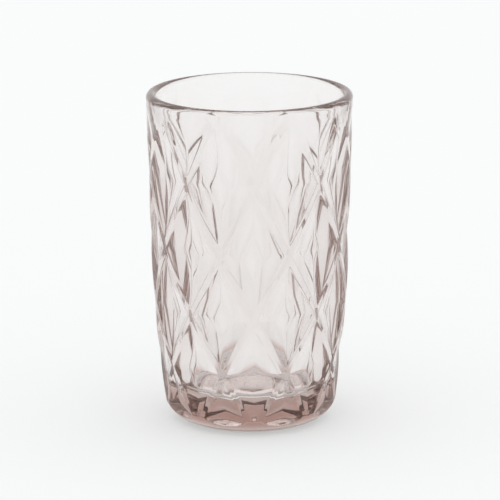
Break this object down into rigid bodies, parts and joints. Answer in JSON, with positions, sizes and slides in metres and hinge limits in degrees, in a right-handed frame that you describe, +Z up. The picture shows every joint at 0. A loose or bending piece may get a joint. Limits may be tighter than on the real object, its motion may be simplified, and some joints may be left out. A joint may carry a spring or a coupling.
{
  "type": "highball tumbler",
  "caption": "Tall pressed-glass tumbler with a plain rounded lip, a lattice of long sunken diamonds round its tapering wall and a thick flat-standing base.",
  "frame": {"origin": "on the table plane, in the middle of the bearing ring", "axes": "+Z up the glass's axis, -Y towards the picture's viewer, through a crossing of the bands"},
  "size_m": [0.08, 0.08, 0.13],
  "materials": {
    "tinted_glass": "fire-polished, pale pink-brown, tinted through"
  },
  "bodies": {
    "root": {"rim": "tinted_glass", "diamond_wall": "tinted_glass", "base": "tinted_glass"}
  },
  "joints": []
}
